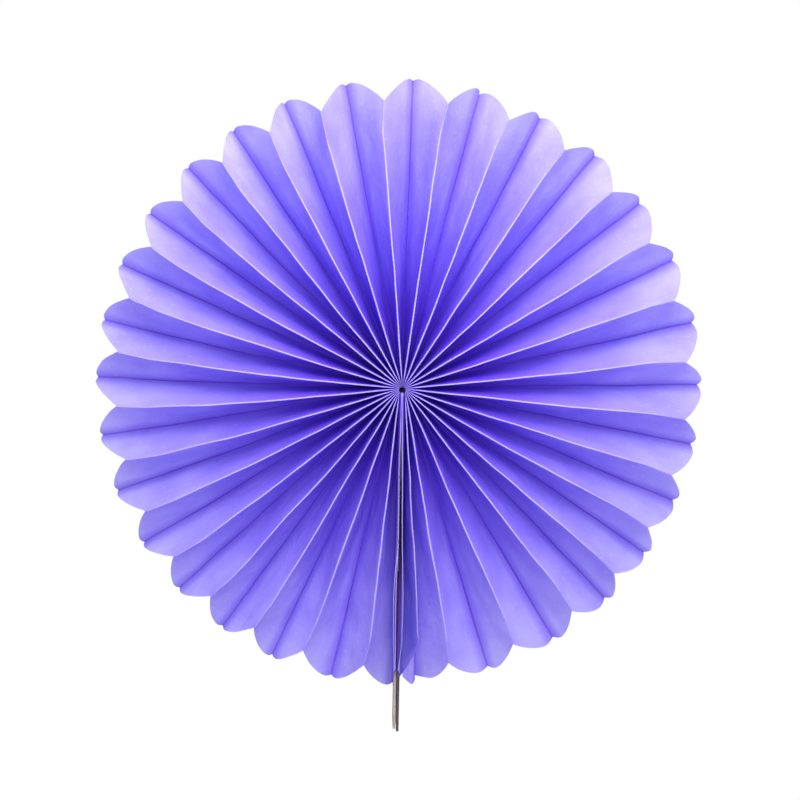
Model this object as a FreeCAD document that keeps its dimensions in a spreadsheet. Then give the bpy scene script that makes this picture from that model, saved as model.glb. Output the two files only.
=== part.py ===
import FreeCAD, Part
import Sketcher
import math
import os

# A paper fan opened all the way round into a rosette.
# It hangs flat against a wall: the wall is the plane Y = 0, the face looks along -Y, and +Z is up.
# The origin is on the rosette's axis, at the back of the hub. All sizes are in millimetres.
# The fan is one accordion of narrow leaves. Its two end leaves are glued to two greyboard strips
# that meet below the hub, so the seam and its tail point straight down.
# Azimuths run clockwise as seen from the front, from the seam round to the seam.

VECTOR = FreeCAD.Vector

# Driving dimensions: name, value, what it is.
SIZES = (
    ("tip_radius", 151.0, "axis to the tip of a petal"),
    ("leaf_width", 24.0, "one leaf, from its front fold to its back fold"),
    ("paper_wall", 0.2, "wall of a leaf, with the air in the crumpled tissue"),
    ("packed_share", 0.45, "wall of a leaf near the hub, as a share of the room it has there"),
    ("crease_depth", 1.5, "most that a fold is thick from front to back"),
    ("hub_radius", 2.2, "round hole that the gathered inner ends leave"),
    ("scallop_rise", 9.5, "tip of a petal above the notch at its front fold"),
    ("scallop_peak", 0.78, "place of the tip, as a share of the leaf from the front fold"),
    ("scallop_round", 1.7, "roundness of the rise to the tip, 1 is straight"),
    ("valley_drop", 2.0, "tip of a petal above the notch at its back fold"),
    ("curl_length", 16.0, "end of a front fold that bends over its neighbour"),
    ("curl_reach", 1.2, "how far that end bends clockwise"),
    ("first_leaf", 6.7, "opening in degrees from the seam to the first front fold"),
    ("first_opening", 13.0, "opening in degrees of the first petal"),
    ("left_opening", 11.0, "opening in degrees of each petal on the left"),
    ("left_petals", 13, "petals on the left"),
    ("top_opening", 12.6, "opening in degrees of each petal at the top"),
    ("top_petals", 8, "petals at the top"),
    ("right_opening", 11.6, "opening in degrees of each petal on the right"),
    ("right_petals", 5, "petals on the right"),
    ("wide_opening", 13.9, "opening in degrees of the widest petals, before the seam"),
    ("wide_petals", 2, "the widest petals"),
    ("last_opening", 6.3, "opening in degrees of the last, half closed petal"),
    ("last_leaf", 4.3, "opening in degrees from the last front fold to the seam"),
    ("board_thickness", 1.3, "greyboard of an end strip"),
    ("board_start", 3.0, "axis to the inner end of an end strip"),
    ("board_margin", 3.0, "end strip short of the leaf's front and back folds"),
    ("tail_length", 21.0, "end strip beyond the tips of the petals"),
    ("board_slip", 1.3, "right end strip past the left one"),
    ("tape_thickness", 0.4, "double-sided tape between the end strips"),
    ("tape_start", 95.0, "axis to the inner end of the tape"),
    ("tape_setback", 10.0, "tape short of the left end strip's outer end"),
    ("tape_margin", 2.0, "tape short of each long edge of the end strips"),
    ("thread_radius", 0.4, "half the thickness of the thread that gathers the leaves"),
    ("thread_clearance", 0.05, "thread off the inner ends of the leaves"),
)

# Radii between the hub and the curled ends where the leaves are given their true section,
# as shares of the way: the leaves stand close together near the hub and change fastest there.
SECTION_SHARES = (0.0, 0.06, 0.2, 0.45, 0.72, 1.0)

# Places along a leaf's scalloped end, as shares of its width from the front fold.
FRONT_HALF = (0.0, 0.14, 0.32, 0.5)
BACK_HALF = (0.5, 0.64, 0.78, 0.9, 1.0)

document = FreeCAD.newDocument("paper_fan_rosette")
sheet = document.addObject("Spreadsheet::Sheet", "sizes")
for row, (name, value, meaning) in enumerate(SIZES, start=1):
    sheet.set(f"A{row}", name)
    sheet.set(f"B{row}", str(value))
    sheet.set(f"C{row}", meaning)
    sheet.setAlias(f"B{row}", name)
document.recompute()


def size(name):
    return float(sheet.get(name))


# Values that the paper and the end strips share.
tip_radius = size("tip_radius")
leaf_width = size("leaf_width")
paper_wall = size("paper_wall")
hub_radius = size("hub_radius")
curl_radius = tip_radius - size("scallop_rise") - size("curl_length")
glued_leaf_x = size("tape_thickness") / 2 + size("board_thickness") + paper_wall / 2


# The end strips and the tape stand upright in the plane of the axis.

def origin_plane(body, role):
    for feature in body.Origin.OriginFeatures:
        if feature.Role == role:
            return feature
    raise ValueError(role)


def bound_rectangle(sketch, near_y, far_y, near_z, far_z):
    """Draws a rectangle in the plane of Y and Z, with its sides bound to four expressions."""
    corners = [VECTOR(-2, -2, 0), VECTOR(-1, -2, 0), VECTOR(-1, -1, 0), VECTOR(-2, -1, 0)]
    for index in range(4):
        sketch.addGeometry(Part.LineSegment(corners[index], corners[(index + 1) % 4]), False)
    for index in range(4):
        sketch.addConstraint(Sketcher.Constraint("Coincident", index, 2, (index + 1) % 4, 1))
    sketch.addConstraint(Sketcher.Constraint("Horizontal", 0))
    sketch.addConstraint(Sketcher.Constraint("Horizontal", 2))
    sketch.addConstraint(Sketcher.Constraint("Vertical", 1))
    sketch.addConstraint(Sketcher.Constraint("Vertical", 3))
    places = (
        ("far_y", "DistanceX", 0, 1, far_y),
        ("near_y", "DistanceX", 1, 1, near_y),
        ("far_z", "DistanceY", 0, 1, far_z),
        ("near_z", "DistanceY", 2, 1, near_z),
    )
    for label, kind, line, end, expression in places:
        index = sketch.addConstraint(Sketcher.Constraint(kind, line, end, -1.0))
        sketch.renameConstraint(index, label)
        sketch.setExpression(f"Constraints.{label}", expression)


def strip(label, near_y, far_y, near_z, far_z, inner_x, thickness):
    """Makes a flat upright strip, padded along +X from the plane at inner_x."""
    body = document.addObject("PartDesign::Body", label)
    sketch = body.newObject("Sketcher::SketchObject", f"{label}_outline")
    sketch.AttachmentSupport = (origin_plane(body, "YZ_Plane"), [""])
    sketch.MapMode = "FlatFace"
    sketch.setExpression("AttachmentOffset.Base.z", inner_x)
    bound_rectangle(sketch, near_y, far_y, near_z, far_z)
    pad = body.newObject("PartDesign::Pad", f"{label}_pad")
    pad.Profile = sketch
    pad.setExpression("Length", thickness)
    body.Tip = pad
    return body


# The accordion. A fold lies in front or at the back, or is the free front edge of an end leaf.

class Fold:
    def __init__(self, kind, board_side=0, azimuth=0.0, hub_azimuth=0.0):
        self.kind = kind
        self.board_side = board_side
        self.azimuth = azimuth
        self.hub_azimuth = hub_azimuth

    def plan(self, radius):
        """Gives the place of the fold at a radius, seen from the front, and the clockwise direction."""
        if self.board_side:
            return VECTOR(self.board_side * glued_leaf_x, 0, -radius), VECTOR(-1, 0, 0)
        inner = spoke(self.hub_azimuth) * hub_radius
        outer = spoke(self.azimuth) * curl_radius
        place = inner + (outer - inner) * ((radius - hub_radius) / (curl_radius - hub_radius))
        clockwise = VECTOR(place.z, 0, -place.x).normalize()
        if self.kind == "front" and radius > curl_radius:
            bend = size("curl_reach") * (radius - curl_radius) / size("curl_length")
            place = place + clockwise * bend
        return place, clockwise


def spoke(azimuth):
    angle = math.radians(azimuth)
    return VECTOR(-math.sin(angle), 0, -math.cos(angle))


def petal_openings():
    openings = [size("first_opening")]
    for place in ("left", "top", "right", "wide"):
        openings += [size(f"{place}_opening")] * round(size(f"{place}_petals"))
    return openings + [size("last_opening")]


def accordion():
    """Lists the folds clockwise from the left end strip to the right one."""
    leaves = [size("first_leaf")]
    for opening in petal_openings():
        leaves += [opening / 2, opening / 2]
    leaves.append(size("last_leaf"))
    full_turn = 360.0 / sum(leaves)
    hub_edge = math.degrees(math.atan2(glued_leaf_x, hub_radius))
    hub_leaf = (360.0 - 2 * hub_edge) / len(leaves)
    folds = [Fold("end", -1), Fold("back", -1)]
    azimuth = 0.0
    for index, leaf in enumerate(leaves[:-1]):
        azimuth += leaf * full_turn
        kind = "front" if index % 2 == 0 else "back"
        folds.append(Fold(kind, 0, azimuth, hub_edge + hub_leaf * (index + 1)))
    return folds + [Fold("back", 1), Fold("end", 1)]


def mean(values):
    return sum(values) / len(values)


def section(folds, radius):
    """Gives the two skins of the paper at one radius, each as a row of points.

    A leaf keeps its width, so the wider it stands open, the less deep it is from front to back.
    All back folds lie against the wall. A row has a point at every fold, and between two folds
    one on the centre line of their leaf.
    """
    plans = [fold.plan(radius) for fold in folds]
    gaps = [(after[0] - before[0]).Length for before, after in zip(plans, plans[1:])]
    depths = [math.sqrt(leaf_width ** 2 - gap ** 2) for gap in gaps]
    walls = [min(paper_wall, size("packed_share") * gap) if gap else paper_wall for gap in gaps]
    skins = {"front": [], "back": []}
    for index, fold in enumerate(folds):
        place, clockwise = plans[index]
        beside = slice(max(index - 1, 0), index + 1)
        crease = 0.0
        if fold.kind != "end":
            crease = min(size("crease_depth"), mean(walls[beside]) * leaf_width / mean(gaps[beside]))
        depth = crease if fold.kind == "back" else mean(depths[beside])
        off_board = clockwise * (-fold.board_side * paper_wall / 2)
        skins["front"].append(place + off_board + VECTOR(0, -depth, 0))
        skins["back"].append(place - off_board + VECTOR(0, crease - depth, 0))
    return {name: with_centre_lines(folds, plans, walls, skins, name) for name in skins}


def with_centre_lines(folds, plans, walls, skins, name):
    """Puts a point on each leaf's centre line between the points at its folds."""
    row = []
    for index, wall in enumerate(walls):
        centres = [(skins["front"][fold] + skins["back"][fold]) / 2 for fold in (index, index + 1)]
        along = centres[1] - centres[0]
        clockwise = (plans[index][1] + plans[index + 1][1]).normalize()
        offset = clockwise * (wall / 2 * along.Length / abs(along.y))
        ahead_is_front = folds[index].kind != "back"
        if ahead_is_front != (name == "front"):
            offset = -offset
        row += [skins[name][index], (centres[0] + centres[1]) / 2 + offset]
    return row + [skins[name][-1]]


# The skins are flat triangles between the points, so that a leaf can twist from hub to rim.

def triangle(first, second, third):
    return Part.Face(Part.makePolygon([first, second, third, first]))


def ribbon(lower, upper):
    """Fills the space between two rows with as many points."""
    faces = []
    for index in range(len(lower) - 1):
        faces.append(triangle(lower[index], lower[index + 1], upper[index]))
        faces.append(triangle(lower[index + 1], upper[index + 1], upper[index]))
    return faces


def fan(foot, row):
    """Fills the space between an edge's two points and a row."""
    faces = [triangle(foot[0], first, second) for first, second in zip(row, row[1:])]
    return faces + [triangle(foot[0], foot[1], row[-1])]


def rim_radius(share):
    """Gives the rounded end of a leaf: its radius at a share of its width from the front fold."""
    peak = size("scallop_peak")
    if share < peak:
        return tip_radius - size("scallop_rise") * (1 - share / peak) ** size("scallop_round")
    return tip_radius - size("valley_drop") * ((share - peak) / (1 - peak)) ** 2


class Rim:
    """The ends of the leaves, past the radius where their front folds begin to curl."""

    def __init__(self, folds, inner):
        self.folds = folds
        self.inner = inner
        self.tips = section(folds, tip_radius)

    def point(self, skin, index, radius):
        start = self.inner[skin][index]
        share = (radius - curl_radius) / (tip_radius - curl_radius)
        return start + (self.tips[skin][index] - start) * share

    def half_scallop(self, skin, fold, leaf):
        """Draws half a leaf's end, from one of its folds to its centre line, or back to front."""
        centre = 2 * leaf + 1
        front = self.folds[fold].kind != "back"
        row = []
        for share in FRONT_HALF if front else BACK_HALF[::-1]:
            radius = rim_radius(share)
            to_centre = 2 * share if front else 2 * (1 - share)
            at_fold = self.point(skin, 2 * fold, radius)
            row.append(at_fold + (self.point(skin, centre, radius) - at_fold) * to_centre)
        return row

    def faces(self):
        faces = []
        for leaf in range(len(self.folds) - 1):
            for fold in (leaf, leaf + 1):
                rows = {}
                for skin in ("front", "back"):
                    rows[skin] = self.half_scallop(skin, fold, leaf)
                    foot = (self.inner[skin][2 * fold], self.inner[skin][2 * leaf + 1])
                    faces += fan(foot, rows[skin])
                faces += ribbon(rows["front"], rows["back"])
        return faces


def pleated_sheet():
    folds = accordion()
    radii = [hub_radius + (curl_radius - hub_radius) * share for share in SECTION_SHARES]
    sections = [section(folds, radius) for radius in radii]
    faces = ribbon(sections[0]["front"], sections[0]["back"])
    for inner, outer in zip(sections, sections[1:]):
        for skin in ("front", "back"):
            faces += ribbon(inner[skin], outer[skin])
    rim = Rim(folds, sections[-1])
    faces += rim.faces()
    notch = rim_radius(0.0)
    for free_edge in (0, -1):
        rows = {}
        for skin in ("front", "back"):
            rows[skin] = [part[skin][free_edge] for part in sections]
            rows[skin].append(rim.point(skin, free_edge, notch))
        faces += ribbon(rows["front"], rows["back"])
    shell = Part.Shell(faces)
    shell.sewShape()
    return Part.Solid(shell)


def pleated_paper():
    paper = document.addObject("Part::Feature", "pleated_paper")
    paper.Shape = pleated_sheet()
    return paper


def gather_thread():
    """Makes the ring of thread that draws the inner ends together, halfway from front to back."""
    ring = document.addObject("Part::Torus", "gather_thread")
    ring.setExpression("Radius1", "sizes.hub_radius - sizes.thread_clearance - sizes.thread_radius")
    ring.setExpression("Radius2", "sizes.thread_radius")
    ring.Placement.Rotation = FreeCAD.Rotation(VECTOR(1, 0, 0), 90)
    ring.setExpression("Placement.Base.y", "-sizes.leaf_width / 2")
    return ring


# The end strips stay within the glued leaves, so the leaves' free edges stand out past them.
BOARD_NEAR = "-sizes.board_margin"
BOARD_FAR = "-sizes.leaf_width + sizes.board_margin"
BOARD_END = "sizes.tip_radius + sizes.tail_length"


def end_board(label, inner_x, far_z):
    return strip(label, BOARD_NEAR, BOARD_FAR, "-sizes.board_start", far_z, inner_x,
                 "sizes.board_thickness")


pieces = [
    pleated_paper(),
    end_board("end_board_left", "-sizes.tape_thickness / 2 - sizes.board_thickness", f"-({BOARD_END})"),
    end_board("end_board_right", "sizes.tape_thickness / 2", f"-({BOARD_END} + sizes.board_slip)"),
    strip("seam_tape", f"{BOARD_NEAR} - sizes.tape_margin", f"{BOARD_FAR} + sizes.tape_margin",
          "-sizes.tape_start", f"-({BOARD_END} - sizes.tape_setback)",
          "-sizes.tape_thickness / 2", "sizes.tape_thickness"),
    gather_thread(),
]
for piece in pieces:
    piece.Label = piece.Name
document.recompute()

# Nothing is written unless every object and every piece is sound.
for thing in document.Objects:
    if "Invalid" in thing.State or "Error" in thing.State:
        raise RuntimeError(f"{thing.Name} failed: {thing.State}")
for piece in pieces:
    if piece.Shape.isNull() or not piece.Shape.isValid() or len(piece.Shape.Solids) != 1:
        raise RuntimeError(f"{piece.Name} is not one sound solid")

os.makedirs("parts", exist_ok=True)
for piece in pieces:
    piece.Shape.exportStep(f"parts/{piece.Name}.step")
    print(piece.Name, len(piece.Shape.Faces), "faces", round(piece.Shape.Volume, 1), "cubic mm")
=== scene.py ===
import math
import random

import bmesh
import bpy
import numpy as np
from mathutils import Matrix, Vector, noise


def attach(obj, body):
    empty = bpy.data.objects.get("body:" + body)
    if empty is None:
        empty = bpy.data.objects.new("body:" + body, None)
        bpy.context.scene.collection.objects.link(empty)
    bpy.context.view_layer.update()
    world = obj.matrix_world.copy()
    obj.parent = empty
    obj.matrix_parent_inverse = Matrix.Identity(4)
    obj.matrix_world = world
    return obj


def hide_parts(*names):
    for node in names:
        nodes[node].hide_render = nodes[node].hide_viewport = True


# A tissue paper fan opened into a rosette, as it hangs, seen from the front.
# The fan's axis is Y, its back is the plane Y = 0, its face looks along -Y and its seam hangs
# straight down. Azimuths run clockwise as seen from the front, from the seam round to the seam.
# Sizes of the paper are in millimetres, and MM turns them into metres.

MM = 0.001
TIP_RADIUS = 151.0
LEAF_WIDTH = 24.0
HUB_RADIUS = 2.2
# The inner ends of the leaves close the hub's hole down to this radius.
HUB_MOUTH = 0.2
# The gathered ends are pressed in around the axis.
DIMPLE_RADIUS = 3.0
DIMPLE_DEPTH = 2.2
DIMPLE_POWER = 1.5

# The end of a front fold bends clockwise, and the leaf behind it slips past the fold.
CURL_RADIUS = 125.5
CURL_LENGTH = 16.0
CURL_REACH = 1.2
CURL_POWER = 1.2
# How far past the fold that leaf goes: clockwise and backward.
HIDDEN_END = (0.8, 0.6)
LAST_HIDDEN_END = (6.3, 17.8)
# The last one stops slipping at this many curl lengths.
LAST_HIDDEN_STOP = 1.2

# Openings in degrees, before they are scaled to close the circle: the two leaves at the seam,
# the petals with how many there are of each, and the two leaves of the half closed last petal.
SEAM_LEAVES = (6.1, 4.9)
PETALS = ((13.0, 1), (11.0, 13), (12.6, 8), (11.6, 5), (13.9, 2), (6.3, 1))
HALF_CLOSED_PETAL = (7.3, -1.0)

# The folds hang down and waver, fully from FIRM_RADIUS on. A waver is its reach, length and seed.
LEFT_SAG = 1.3
RIGHT_SAG = 0.5
SAG_POWER = 1.2
FOLD_WAVERS = ((0.55, 34, 3.1), (0.22, 11, 8.7))
FIRM_RADIUS = 40

# The scalloped end of a leaf: notch radius, rise to the tip, place of the tip as a share of the
# leaf from its front fold, roundness of the rise, and the drop from the tip to the back fold.
LEFT_SCALLOP = (140.3, 12.5, 0.86, 1.45, 1.0)
RIGHT_SCALLOP = (140.8, 10.9, 0.77, 1.50, 1.6)
# The right scallops start at this azimuth.
RIGHT_SCALLOPS_FROM = 190
# The petals below rise this much more than those at the top. On the left the extra rise starts
# higher up the side.
LOWER_RISE = 2.2
LEFT_LIFT = 0.7
# The leaf before the seam is seen whole: its cut end is a tongue that starts further in.
TONGUE_START = 124.0
TONGUE_END = 152.0
TONGUE_ROUNDNESS = 0.68
# The two leaves before it, by their number from the end, show below it.
SEAM_SCALLOPS = {-5: (140.8, 10.1, 0.62, 2.0, 0.5), -4: (150.8, 4.2, 0.74, 1.4, 2.2)}

# The first and the last leaf are glued to the end strips at this X. In front of the strips their
# free edges lean over the seam: radius and X of each edge, for the left and the right leaf.
GLUED_LEAF_X = 1.6
BOARD_FRONT = 21.2
FREE_EDGES = {
    -1: ((0, -0.3), (20, -0.6), (34, -0.95), (78, -0.75), (103, -1.4), (127, -1.1), (155, -1.0)),
    1: ((0, 0.3), (20, 0.5), (34, 0.8), (78, 1.7), (103, 2.6), (127, 2.4), (141, 0.7), (155, 0.4)),
}
# They waver too, fully from this radius on.
EDGE_WAVER = (0.16, 9, 1.9)
EDGE_FIRM_RADIUS = 20
# The left one is doubled by a narrow lap whose edge stands off further out.
LAP_EDGE = ((78, -0.75), (90, -1.9), (103, -2.5), (127, -2.2), (141, -1.5))
LAP_WIDTH = 5.0

# Each leaf is a grid of this many cells along and across, with a narrow strip at each fold.
ROWS = 56
ROW_SPACING = 1.05
ACROSS = 15
STRIP_SHARE = 0.012
# Half the width of the flattened paper along a front fold: the most, what it loses toward the
# rim as a share, the most as a share of the room beside RIDGES_ROUND folds, and a back fold's
# share of it.
RIDGE_HALF = 0.31
RIDGE_TAPER = 0.6
RIDGE_ROOM = 0.19
BACK_RIDGE = 0.35
RIDGES_ROUND = 32
# How far that strip stands proud of the leaves, and how far a free edge curls in over the seam.
RIDGE_PROUD = 0.12
FREE_EDGE_CURL = 0.32

# Each leaf bulges by a random amount between these, and is crumpled in three layers: height,
# waves across the leaf and length of a wave along it. The seeds keep rows, leaves and layers apart.
BULGES = (-0.5, 0.9)
CRUMPLES = ((0.9, 1.4, 30.0), (0.42, 3.2, 12.0), (0.20, 7.0, 5.0))
# Radius from which a leaf has room for all of that, and the share left at the hub.
ROOMY_RADIUS = 60
LEAST_ROOM = 0.02
GLUED_CRUMPLE = 0.12
ROW_SEED = 5.37
LEAF_SEED = 3.7
LAYER_SEED = 19.1

# Place of a leaf in the UV map: U is its share of the width from the front fold, squeezed by
# UV_SPAN so that it never reaches the next leaf, which lies UV_STEP further. V is the radius.
UV_SPAN = 0.9
UV_STEP = 2.0
WELD = 2e-6

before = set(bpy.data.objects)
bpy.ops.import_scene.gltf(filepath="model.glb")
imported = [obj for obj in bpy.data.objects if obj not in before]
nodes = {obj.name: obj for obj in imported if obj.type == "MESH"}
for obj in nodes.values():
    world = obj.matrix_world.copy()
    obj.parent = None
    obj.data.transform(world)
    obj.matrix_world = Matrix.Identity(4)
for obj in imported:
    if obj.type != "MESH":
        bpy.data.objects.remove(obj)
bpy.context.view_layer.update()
random.seed(7)


def wave_along(values, length, row, seed):
    """Smooth noise from -1 to 1 along the values."""
    result = [noise.noise(Vector((value / length, row * ROW_SEED, seed))) for value in np.ravel(values)]
    return np.array(result).reshape(np.shape(values))


# The folds, clockwise from the seam. A fold with a side belongs to a glued leaf.

class Fold:
    def __init__(self, number, kind, side=0, azimuth=0.0, hub_azimuth=0.0):
        self.number = number
        self.kind = kind
        self.side = side
        self.azimuth = math.radians(azimuth)
        self.hub_azimuth = math.radians(hub_azimuth)

    def plan(self, radius):
        """Gives X and Z at each radius, without the curl."""
        if self.side:
            return np.stack([np.full_like(radius, self.side * GLUED_LEAF_X), -radius], -1)
        inner = HUB_RADIUS * np.array([-math.sin(self.hub_azimuth), -math.cos(self.hub_azimuth)])
        outer = CURL_RADIUS * np.array([-math.sin(self.azimuth), -math.cos(self.azimuth)])
        share = (radius - HUB_RADIUS) / (CURL_RADIUS - HUB_RADIUS)
        return inner + (outer - inner) * share[..., None]

    def clockwise(self):
        if self.side:
            return np.array([-1.0, 0.0])
        return np.array([-math.cos(self.azimuth), math.sin(self.azimuth)])


def make_folds():
    leaves = [SEAM_LEAVES[0]]
    for opening, count in PETALS:
        leaves += [opening / 2, opening / 2] * count
    leaves.append(SEAM_LEAVES[1])
    leaves[-3:-1] = HALF_CLOSED_PETAL
    turn = 360.0 / sum(leaves)
    hub_edge = math.degrees(math.atan2(GLUED_LEAF_X, HUB_RADIUS))
    hub_leaf = (360.0 - 2 * hub_edge) / len(leaves)
    made = [Fold(0, "end", -1), Fold(1, "back", -1)]
    azimuth = 0.0
    for index, leaf in enumerate(leaves[:-1]):
        azimuth += leaf * turn
        kind = "front" if index % 2 == 0 else "back"
        made.append(Fold(index + 2, kind, 0, azimuth, hub_edge + hub_leaf * (index + 1)))
    count = len(made)
    return made + [Fold(count, "back", 1), Fold(count + 1, "end", 1)]


folds = make_folds()
LAST_FRONT_FOLD = len(folds) - 3


def leaf_depth(first, radius):
    """Depth of a leaf from front to back, from its first fold's number."""
    apart = folds[first + 1].plan(radius) - folds[first].plan(radius)
    return np.sqrt(LEAF_WIDTH ** 2 - np.sum(apart ** 2, -1))


def fold_depth(fold, radius):
    if fold.kind == "back":
        return np.zeros_like(radius)
    dimple = DIMPLE_DEPTH * np.clip(1 - radius / DIMPLE_RADIUS, 0, 1) ** DIMPLE_POWER
    if fold.kind == "end":
        return LEAF_WIDTH - dimple
    return (leaf_depth(fold.number - 1, radius) + leaf_depth(fold.number, radius)) / 2 - dimple


def sag(fold, radius):
    """How far a fold hangs down and wavers between the hub and the rim, in X and Z."""
    share = np.clip(radius / TIP_RADIUS, 0, 1)
    level = math.sin(fold.azimuth)
    down = (LEFT_SAG if level > 0 else RIGHT_SAG) * abs(level) * np.sin(math.pi * share) ** SAG_POWER
    waver = sum(reach * wave_along(radius, length, fold.number, seed)
                for reach, length, seed in FOLD_WAVERS)
    aside = fold.clockwise() * (waver * np.clip(radius / FIRM_RADIUS, 0, 1))[..., None]
    return aside + np.stack([np.zeros_like(down), -down], -1)


def free_edge_x(side, radius):
    """Where the free front edge of a glued leaf lies."""
    known = FREE_EDGES[side]
    aside = np.interp(radius, [place for place, _ in known], [x for _, x in known])
    reach, length, seed = EDGE_WAVER
    waver = reach * wave_along(radius, length, side * 3.0, seed)
    return aside + waver * np.clip(radius / EDGE_FIRM_RADIUS, 0, 1)


def fold_line(fold, radius, leaf_side):
    """The line of a fold as one of its leaves has it. leaf_side is 1 for the leaf clockwise of it."""
    plan = fold.plan(radius)
    depth = fold_depth(fold, radius)
    if fold.side:
        if fold.kind == "end":
            plan[..., 0] = free_edge_x(fold.side, radius)
        return np.stack([plan[..., 0], -depth, plan[..., 1]], -1)
    plan = plan + sag(fold, radius)
    if fold.kind == "front":
        past = np.clip((radius - CURL_RADIUS) / CURL_LENGTH, 0, None)
        reach, back = (0.0, 0.0) if leaf_side > 0 else HIDDEN_END
        if leaf_side < 0 and fold.number == LAST_FRONT_FOLD:
            reach, back = LAST_HIDDEN_END
            past = np.minimum(past, LAST_HIDDEN_STOP)
        bend = past ** CURL_POWER
        plan = plan + fold.clockwise() * ((CURL_REACH + reach) * bend)[..., None]
        depth = depth - back * bend
    return np.stack([plan[..., 0], -depth, plan[..., 1]], -1)


def rim_radius(first, share):
    """The cut end of a leaf, at shares of its width from its front fold."""
    if first == LAST_FRONT_FOLD:
        return TONGUE_START + (TONGUE_END - TONGUE_START) * share ** TONGUE_ROUNDNESS
    fold = folds[first]
    right = fold.azimuth > math.radians(RIGHT_SCALLOPS_FROM) or fold.side > 0
    if first - len(folds) in SEAM_SCALLOPS:
        notch, rise, peak, roundness, drop = SEAM_SCALLOPS[first - len(folds)]
    else:
        notch, rise, peak, roundness, drop = RIGHT_SCALLOP if right else LEFT_SCALLOP
        lift = 0.0 if right else LEFT_LIFT
        rise += LOWER_RISE * max(0.0, (math.cos(fold.azimuth) + lift) / (1 + lift))
    climb = rise * (1 - np.clip(1 - share / peak, 0, 1) ** roundness)
    return notch + climb - drop * (np.clip(share - peak, 0, 1) / (1 - peak)) ** 2


def ridge_half(fold, radius):
    """Half the width of the flattened paper along a fold."""
    room = 2 * math.pi * radius / RIDGES_ROUND
    widest = RIDGE_HALF * (1 - RIDGE_TAPER * np.clip(radius / TIP_RADIUS, 0, 1) ** 2)
    return np.minimum(widest, RIDGE_ROOM * room) * (BACK_RIDGE if fold.kind == "back" else 1.0)


def leaf_normal(direction, points):
    """Unit vectors square to a leaf, from the direction across it."""
    spoke = points.copy()
    spoke[..., 1] = 0.0
    spoke /= np.linalg.norm(spoke, axis=-1, keepdims=True)
    normal = np.cross(direction, spoke)
    return normal / np.linalg.norm(normal, axis=-1, keepdims=True)


def crumple(first, radius, across):
    """How far a leaf stands off its flat form."""
    belly = np.sin(math.pi * across)
    swell = random.uniform(*BULGES) * np.sin(math.pi * np.clip(radius / TIP_RADIUS, 0, 1))
    off = swell * belly
    for number, (height, waves, length) in enumerate(CRUMPLES):
        seed = first * LEAF_SEED + number * LAYER_SEED
        waviness = [
            [noise.noise(Vector((waves * share, place / length, seed))) for share, place in zip(across, row)]
            for row in radius
        ]
        off = off + height * np.array(waviness) * np.sqrt(np.abs(belly))
    if folds[first].kind == "end" or folds[first + 1].kind == "end":
        off = off * GLUED_CRUMPLE
    return off * np.clip(radius / ROOMY_RADIUS, LEAST_ROOM, 1)


def leaf_grid(first):
    """Points and UVs of one leaf: rows from the hub to the rim, columns from fold to fold."""
    near, far = folds[first], folds[first + 1]
    lateral = np.concatenate([[0.0], np.linspace(STRIP_SHARE, 1 - STRIP_SHARE, ACROSS + 1), [1.0]])
    from_front = 1 - lateral if near.kind == "back" else lateral
    steps = np.linspace(0, 1, ROWS + 1) ** ROW_SPACING
    radius = HUB_MOUTH + (rim_radius(first, from_front) - HUB_MOUTH)[None, :] * steps[:, None]
    sides = ((0, near, 1), (-1, far, -1))
    lines = []
    for _, fold, toward in sides:
        line = fold_line(fold, radius, toward)
        aside = fold.clockwise() * toward
        half = ridge_half(fold, radius)
        line[..., 0] += aside[0] * half
        line[..., 2] += aside[1] * half
        lines.append(line)
    direction = lines[1] - lines[0]
    across = np.concatenate([[0], np.linspace(0, 1, ACROSS + 1), [1]])
    points = lines[0] + direction * across[None, :, None]
    for _, fold, _ in sides:
        if fold.kind == "end":
            lean = np.clip((-points[..., 1] - BOARD_FRONT) / (LEAF_WIDTH - BOARD_FRONT), 0, 1)
            glued = fold.side * GLUED_LEAF_X
            points[..., 0] = glued * (1 - lean) + free_edge_x(fold.side, radius) * lean
    points = points + leaf_normal(direction, points) * crumple(first, radius, across)[..., None]
    for column, fold, toward in sides:
        crown = fold_line(fold, radius[:, column], toward)
        if fold.kind != "back":
            crown[:, 1] -= RIDGE_PROUD
        if fold.kind == "end":
            crown[:, 0] -= fold.side * FREE_EDGE_CURL
        points[:, column] = crown
    return points, np.stack([np.broadcast_to(from_front, radius.shape), radius / TIP_RADIUS], -1)


def lap_grid():
    """The narrow lap along the free edge of the left glued leaf."""
    radius = np.linspace(LAP_EDGE[0][0], LAP_EDGE[-1][0], ROWS + 1)
    edge = np.interp(radius, [place for place, _ in LAP_EDGE], [x for _, x in LAP_EDGE])
    # X, Y and the place in the UV map of each column: two beside the board, two at the edge.
    columns = (
        (-1.72, LAP_WIDTH - LEAF_WIDTH, 0.2),
        (-1.74, -BOARD_FRONT, 0.12),
        (edge, 0.1 - LEAF_WIDTH, 0.02),
        (edge + 0.4, -LEAF_WIDTH, 0.0),
    )
    grid = np.zeros((ROWS + 1, len(columns), 3))
    marks = np.zeros((ROWS + 1, len(columns), 2))
    for column, (x, y, share) in enumerate(columns):
        for axis, value in enumerate((x, y, -radius)):
            grid[:, column, axis] = value
        marks[:, column, 0] = share
        marks[:, column, 1] = radius / TIP_RADIUS
    return grid, marks


def hub_grid():
    """The end of the sheet that closes the hub behind the seam, above the end strips."""
    corners = [[(-1.7, -1.5, 1.2), (1.7, -1.5, 1.2)], [(-1.7, -1.5, -3.3), (1.7, -1.5, -3.3)]]
    return np.array(corners), np.full((2, 2, 2), (0.5, 0.001))


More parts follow.
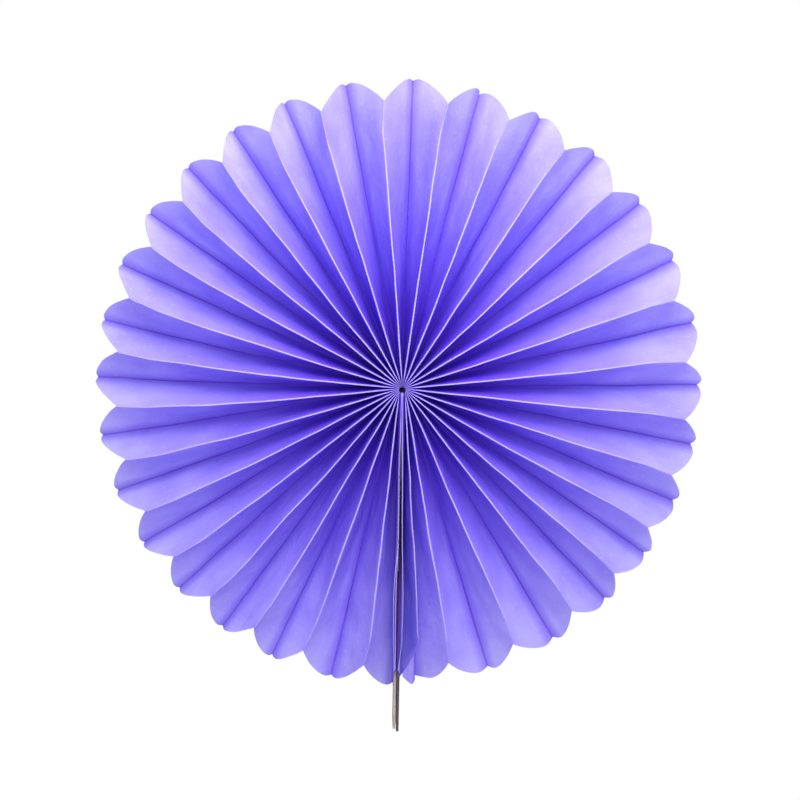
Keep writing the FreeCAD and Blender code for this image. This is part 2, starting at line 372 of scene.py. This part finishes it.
def add_mesh(name, points, faces, uvs=None):
    mesh = bpy.data.meshes.new(name)
    mesh.from_pydata([tuple(point) for point in points], [], faces)
    thing = bpy.data.objects.new(name, mesh)
    bpy.context.scene.collection.objects.link(thing)
    if uvs is not None:
        layer = mesh.uv_layers.new(name="leaf")
        corners = np.empty(len(mesh.loops), dtype=np.int32)
        mesh.loops.foreach_get("vertex_index", corners)
        layer.data.foreach_set("uv", np.asarray(uvs, dtype=np.float32)[corners].ravel())
    mesh.polygons.foreach_set("use_smooth", [True] * len(mesh.polygons))
    return thing


def make_paper():
    points, uvs, faces = [], [], []
    grids = [leaf_grid(first) for first in range(len(folds) - 1)] + [lap_grid(), hub_grid()]
    for number, (grid, marks) in enumerate(grids):
        rows, columns = grid.shape[:2]
        base = len(points)
        points.extend(grid.reshape(-1, 3) * MM)
        marks = marks.reshape(-1, 2).copy()
        marks[:, 0] = marks[:, 0] * UV_SPAN + number * UV_STEP
        uvs.extend(marks)
        for row in range(rows - 1):
            for column in range(columns - 1):
                corner = base + row * columns + column
                faces.append((corner, corner + 1, corner + columns + 1, corner + columns))
    paper = add_mesh("tissue_leaves", points, faces, uvs)
    work = bmesh.new()
    work.from_mesh(paper.data)
    bmesh.ops.remove_doubles(work, verts=work.verts, dist=WELD)
    work.to_mesh(paper.data)
    work.free()
    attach(paper, "root")
    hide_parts("pleated_paper")
    return paper


# Materials

# The tissue's two tones and its specks. Then painted shade deep between the leaves, near the back
# fold, in that fold's crease and in the hub's throat, and a painted highlight along the front fold,
# near the hub and further out. Last, the share of the light that goes through.
TISSUE_PALE = (0.465, 0.420, 0.970, 1)
TISSUE_DEEP = (0.360, 0.305, 0.920, 1)
TISSUE_SPECK = (0.560, 0.530, 0.990, 1)
INNER_PAINTED_SHADE = (0.160, 0.055, 0.760, 1)
SHADED_TISSUE = (0.130, 0.050, 0.700, 1)
CREASE_PAINTED_SHADE = (0.075, 0.020, 0.550, 1)
THROAT_PAINTED_SHADE = (0.012, 0.006, 0.040, 1)
RIDGE_PAINTED_HIGHLIGHT_NEAR_HUB = (0.460, 0.370, 1.0, 1)
RIDGE_PAINTED_HIGHLIGHT = (0.660, 0.600, 1.0, 1)
THROUGH_SHARE = 0.38

# An end strip: light and dark fibres of its bare end, and painted shade where it lies between the leaves.
LEFT_BOARD_AND_SHADE = ((0.42, 0.37, 0.34, 1), (0.24, 0.205, 0.19, 1), (0.045, 0.020, 0.180, 1))
# The right strip's bare end is much darker than the left strip's.
RIGHT_BOARD_AND_SHADE = ((0.12, 0.09, 0.09, 1), (0.05, 0.04, 0.045, 1), (0.110, 0.060, 0.420, 1))
# Painted shade, near black, that the strips take higher up between the leaves.
DEEPEST_PAINTED_SHADE = (0.010, 0.005, 0.030, 1)
# Heights in metres between which a strip goes from bare to the painted shade between the leaves, and from
# that to the deepest painted shade.
PAINTED_SHADE_HEIGHTS = (-0.147, -0.139)
DEEPEST_SHADE_HEIGHTS = (-0.148, -0.078)
PAINTED_SHADE_SHARE = 0.97


class Nodes:
    """Makes the nodes of a material or a world. A value that is a socket is linked, any other is set."""

    def __init__(self, owner):
        self.owner = owner
        owner.use_nodes = True
        self.tree = owner.node_tree
        self.tree.nodes.clear()

    def add(self, kind, inputs=None, output=0, **settings):
        node = self.tree.nodes.new(kind)
        for key, value in settings.items():
            setattr(node, key, value)
        for key, value in (inputs or {}).items():
            self.put(node.inputs[key], value)
        return node.outputs[output]

    def put(self, socket, value):
        if isinstance(value, bpy.types.NodeSocket):
            self.tree.links.new(value, socket)
        else:
            socket.default_value = value

    def split(self, vector):
        node = self.tree.nodes.new("ShaderNodeSeparateXYZ")
        self.put(node.inputs[0], vector)
        return node.outputs

    def math(self, operation, first, second):
        return self.add("ShaderNodeMath", {0: first, 1: second}, operation=operation)

    def ramp(self, value, low, high, to_low=0.0, to_high=1.0):
        return self.add("ShaderNodeMapRange", {0: value, 1: low, 2: high, 3: to_low, 4: to_high})

    def mix(self, share, first, second):
        return self.add("ShaderNodeMix", {0: share, 6: first, 7: second}, output=2, data_type="RGBA")

    def place(self):
        return self.add("ShaderNodeTexCoord", output="Object")

    def noise(self, scale, detail=2.0, place=None):
        inputs = {"Scale": scale, "Detail": detail, "Vector": place or self.place()}
        return self.add("ShaderNodeTexNoise", inputs)

    def plainly_seen(self):
        """1 for rays from the camera, and for those that gloss and glass send on."""
        rays = [self.add("ShaderNodeLightPath", output=f"Is {kind} Ray")
                for kind in ("Camera", "Glossy", "Transmission")]
        return self.math("MAXIMUM", self.math("MAXIMUM", rays[0], rays[1]), rays[2])

    def finish(self, surface, kind="ShaderNodeOutputMaterial"):
        self.put(self.tree.nodes.new(kind).inputs[0], surface)
        return self.owner


def tissue_material():
    make = Nodes(bpy.data.materials.new("tissue_paper"))
    uv = make.split(make.add("ShaderNodeUVMap", uv_map="leaf"))
    leaf_share = make.math("MULTIPLY", make.math("MODULO", uv[0], UV_STEP), 1 / UV_SPAN)
    along = uv[1]
    speck = make.ramp(make.noise(520.0, 5.0), 0.58, 0.75, 0.0, 0.5)
    cloud = make.ramp(make.noise(45.0), 0.3, 0.7)
    # Painted shade: the tissue darkens and deepens in colour toward the hub.
    inner = make.ramp(along, 0.25, 0.98, 0.95, 0.0)
    shade = make.ramp(leaf_share, 0.72, 1.0, 0.0, 0.6)
    # Painted shade in the back fold's crease, fainter toward the rim.
    crease_shade_mask = make.ramp(leaf_share, 0.945, 0.985, 0.0, 0.8)
    crease_shade = make.math("MULTIPLY", crease_shade_mask, make.ramp(along, 0.75, 1.0, 1.0, 0.55))
    # Painted highlight along the front fold, fainter toward the rim and deeper in colour near the hub.
    ridge_highlight_mask = make.ramp(leaf_share, 0.03, 0.0, 0.0, 0.95)
    ridge_highlight = make.math("MULTIPLY", ridge_highlight_mask, make.ramp(along, 0.6, 0.95, 1.0, 0.4))
    ridge_highlight_colour = make.mix(make.ramp(along, 0.04, 0.16), RIDGE_PAINTED_HIGHLIGHT_NEAR_HUB, RIDGE_PAINTED_HIGHLIGHT)
    # Painted shade, near black, in the hub's throat.
    throat_shade = make.ramp(along, 0.0125, 0.0075)
    colour = TISSUE_PALE
    for share, other in (
        (cloud, TISSUE_DEEP), (speck, TISSUE_SPECK), (inner, INNER_PAINTED_SHADE), (shade, SHADED_TISSUE),
        (crease_shade, CREASE_PAINTED_SHADE), (ridge_highlight, ridge_highlight_colour), (throat_shade, THROAT_PAINTED_SHADE),
    ):
        colour = make.mix(share, colour, other)
    fine_crinkle = make.math("MULTIPLY", make.noise(1500.0, 3.0), 0.5)
    crinkle = make.math("ADD", make.noise(420.0, 5.0), fine_crinkle)
    bump = make.add("ShaderNodeBump", {"Strength": 0.5, "Distance": 0.0006, "Height": crinkle})
    face = make.add("ShaderNodeBsdfPrincipled", {
        "Base Color": colour, "Roughness": 0.8, "Specular IOR Level": 0.12, "Normal": bump})
    through = make.add("ShaderNodeBsdfTranslucent", {"Color": colour, "Normal": bump})
    return make.finish(make.add("ShaderNodeMixShader", {0: THROUGH_SHARE, 1: face, 2: through}))


def board_material(name, light, dark, covered_painted_shade):
    make = Nodes(bpy.data.materials.new(name))
    place = make.place()
    stretched = make.add("ShaderNodeMapping", {"Vector": place, "Scale": (2600.0, 160.0, 160.0)})
    fibre = make.math("MULTIPLY", make.noise(1.0, 4.0, stretched), 0.6)
    grain = make.math("MULTIPLY", make.noise(900.0, 4.0), 0.4)
    mixed = make.math("ADD", fibre, grain)
    bare = make.mix(make.ramp(mixed, 0.35, 0.65), dark, light)
    height = make.split(place)[2]
    # Painted shade: between the leaves the strip takes a dark violet, which goes near black higher up.
    shade_between_leaves = make.mix(make.ramp(height, *DEEPEST_SHADE_HEIGHTS), covered_painted_shade, DEEPEST_PAINTED_SHADE)
    colour = make.mix(make.ramp(height, *PAINTED_SHADE_HEIGHTS, 0.0, PAINTED_SHADE_SHARE), bare, shade_between_leaves)
    bump = make.add("ShaderNodeBump", {"Strength": 0.5, "Distance": 0.0004, "Height": mixed})
    return make.finish(make.add("ShaderNodeBsdfPrincipled", {
        "Base Color": colour, "Roughness": 0.9, "Specular IOR Level": 0.08, "Normal": bump}))


def plain_material(name, colour, roughness):
    make = Nodes(bpy.data.materials.new(name))
    tone = make.ramp(make.noise(1200.0, 3.0), 0.3, 0.7, 0.85, 1.0)
    shaded = make.mix(tone, tuple(part * 0.7 for part in colour) + (1,), colour + (1,))
    return make.finish(make.add("ShaderNodeBsdfPrincipled", {"Base Color": shaded, "Roughness": roughness}))


def paint(thing, material):
    thing.data.materials.clear()
    thing.data.materials.append(material)


# Light and camera, in metres and degrees

WHITE = (1, 1, 1, 1)
WORLD_LIGHT = 0.44
FLOOR_COLOUR = (0.85, 0.85, 0.85, 1)
FLOOR_RADIUS = 2.5
FLOOR_HEIGHT = -0.9
FLOOR_SIDES = 64

# Name, place, aim, width and power of each soft lamp.
LAMPS = (
    ("key", (0.09, -0.37, 0.54), (0, 0, 0.04), 0.7, 6.9),
    ("top", (0.0, -0.25, 0.19), (0, 0, 0.08), 0.2, 0.42),
    ("fill", (0.1, -1.2, 0.1), (0, 0, 0), 0.9, 5.8),
)

# The camera stands where the photograph's camera stood: its place is found from the outline.
CAMERA_AIM = (-0.0008, -0.013, -0.0060)
CAMERA_DISTANCE = 0.750
CAMERA_ELEVATION = 5.98
CAMERA_AZIMUTH = -1.12
CAMERA_ROLL = 1.1
FOCAL_PIXELS = 1504.9
PICTURE_PIXELS = 800
SENSOR = 36.0


def white_world():
    """An even pale light from all round, which the camera sees as white."""
    world = bpy.data.worlds.new("studio")
    bpy.context.scene.world = world
    make = Nodes(world)
    light, seen = [make.add("ShaderNodeBackground", {"Color": WHITE, "Strength": strength})
                   for strength in (WORLD_LIGHT, 1.0)]
    shown = make.add("ShaderNodeMixShader", {0: make.plainly_seen(), 1: light, 2: seen})
    make.finish(shown, "ShaderNodeOutputWorld")


def pale_floor():
    """A floor well below the hanging fan, which the camera sees as white."""
    turns = [2 * math.pi * number / FLOOR_SIDES for number in range(FLOOR_SIDES)]
    rim = [(FLOOR_RADIUS * math.cos(turn), FLOOR_RADIUS * math.sin(turn), FLOOR_HEIGHT) for turn in turns]
    floor = add_mesh("floor", rim, [tuple(range(FLOOR_SIDES))])
    make = Nodes(bpy.data.materials.new("pale_floor"))
    plain = make.add("ShaderNodeBsdfDiffuse", {"Color": FLOOR_COLOUR})
    white = make.add("ShaderNodeEmission", {"Color": WHITE, "Strength": 1.0})
    paint(floor, make.finish(make.add("ShaderNodeMixShader", {0: make.plainly_seen(), 1: plain, 2: white})))


def soft_lamp(name, place, aim, width, power):
    data = bpy.data.lights.new(name, "AREA")
    data.shape = "DISK"
    data.size = width
    data.energy = power
    lamp = bpy.data.objects.new(name, data)
    lamp.location = place
    lamp.rotation_euler = (Vector(aim) - Vector(place)).to_track_quat("-Z", "Y").to_euler()
    bpy.context.scene.collection.objects.link(lamp)


def make_camera():
    elevation, azimuth = math.radians(CAMERA_ELEVATION), math.radians(CAMERA_AZIMUTH)
    back = Vector((
        math.sin(azimuth) * math.cos(elevation),
        -math.cos(azimuth) * math.cos(elevation),
        math.sin(elevation),
    ))
    roll = Matrix.Rotation(math.radians(CAMERA_ROLL), 3, "Z")
    data = bpy.data.cameras.new("camera")
    data.sensor_width = SENSOR
    data.lens = SENSOR * FOCAL_PIXELS / PICTURE_PIXELS
    camera = bpy.data.objects.new("camera", data)
    camera.rotation_euler = ((-back).to_track_quat("-Z", "Y").to_matrix() @ roll).to_euler()
    camera.location = Vector(CAMERA_AIM) + back * CAMERA_DISTANCE
    bpy.context.scene.collection.objects.link(camera)
    bpy.context.scene.camera = camera


paper = make_paper()
for thing, material in (
    (paper, tissue_material()),
    (nodes["end_board_left"], board_material("greyboard_left_and_painted_shade", *LEFT_BOARD_AND_SHADE)),
    (nodes["end_board_right"], board_material("greyboard_right_and_painted_shade", *RIGHT_BOARD_AND_SHADE)),
    # The tape's dark violet is painted shade.
    (nodes["seam_tape"], plain_material("tape", (0.07, 0.04, 0.20), 0.9)),
    (nodes["gather_thread"], plain_material("thread", (0.70, 0.68, 0.72), 0.8)),
):
    paint(thing, material)

white_world()
pale_floor()
for lamp in LAMPS:
    soft_lamp(*lamp)
make_camera()
bpy.context.scene.view_settings.view_transform = "Standard"
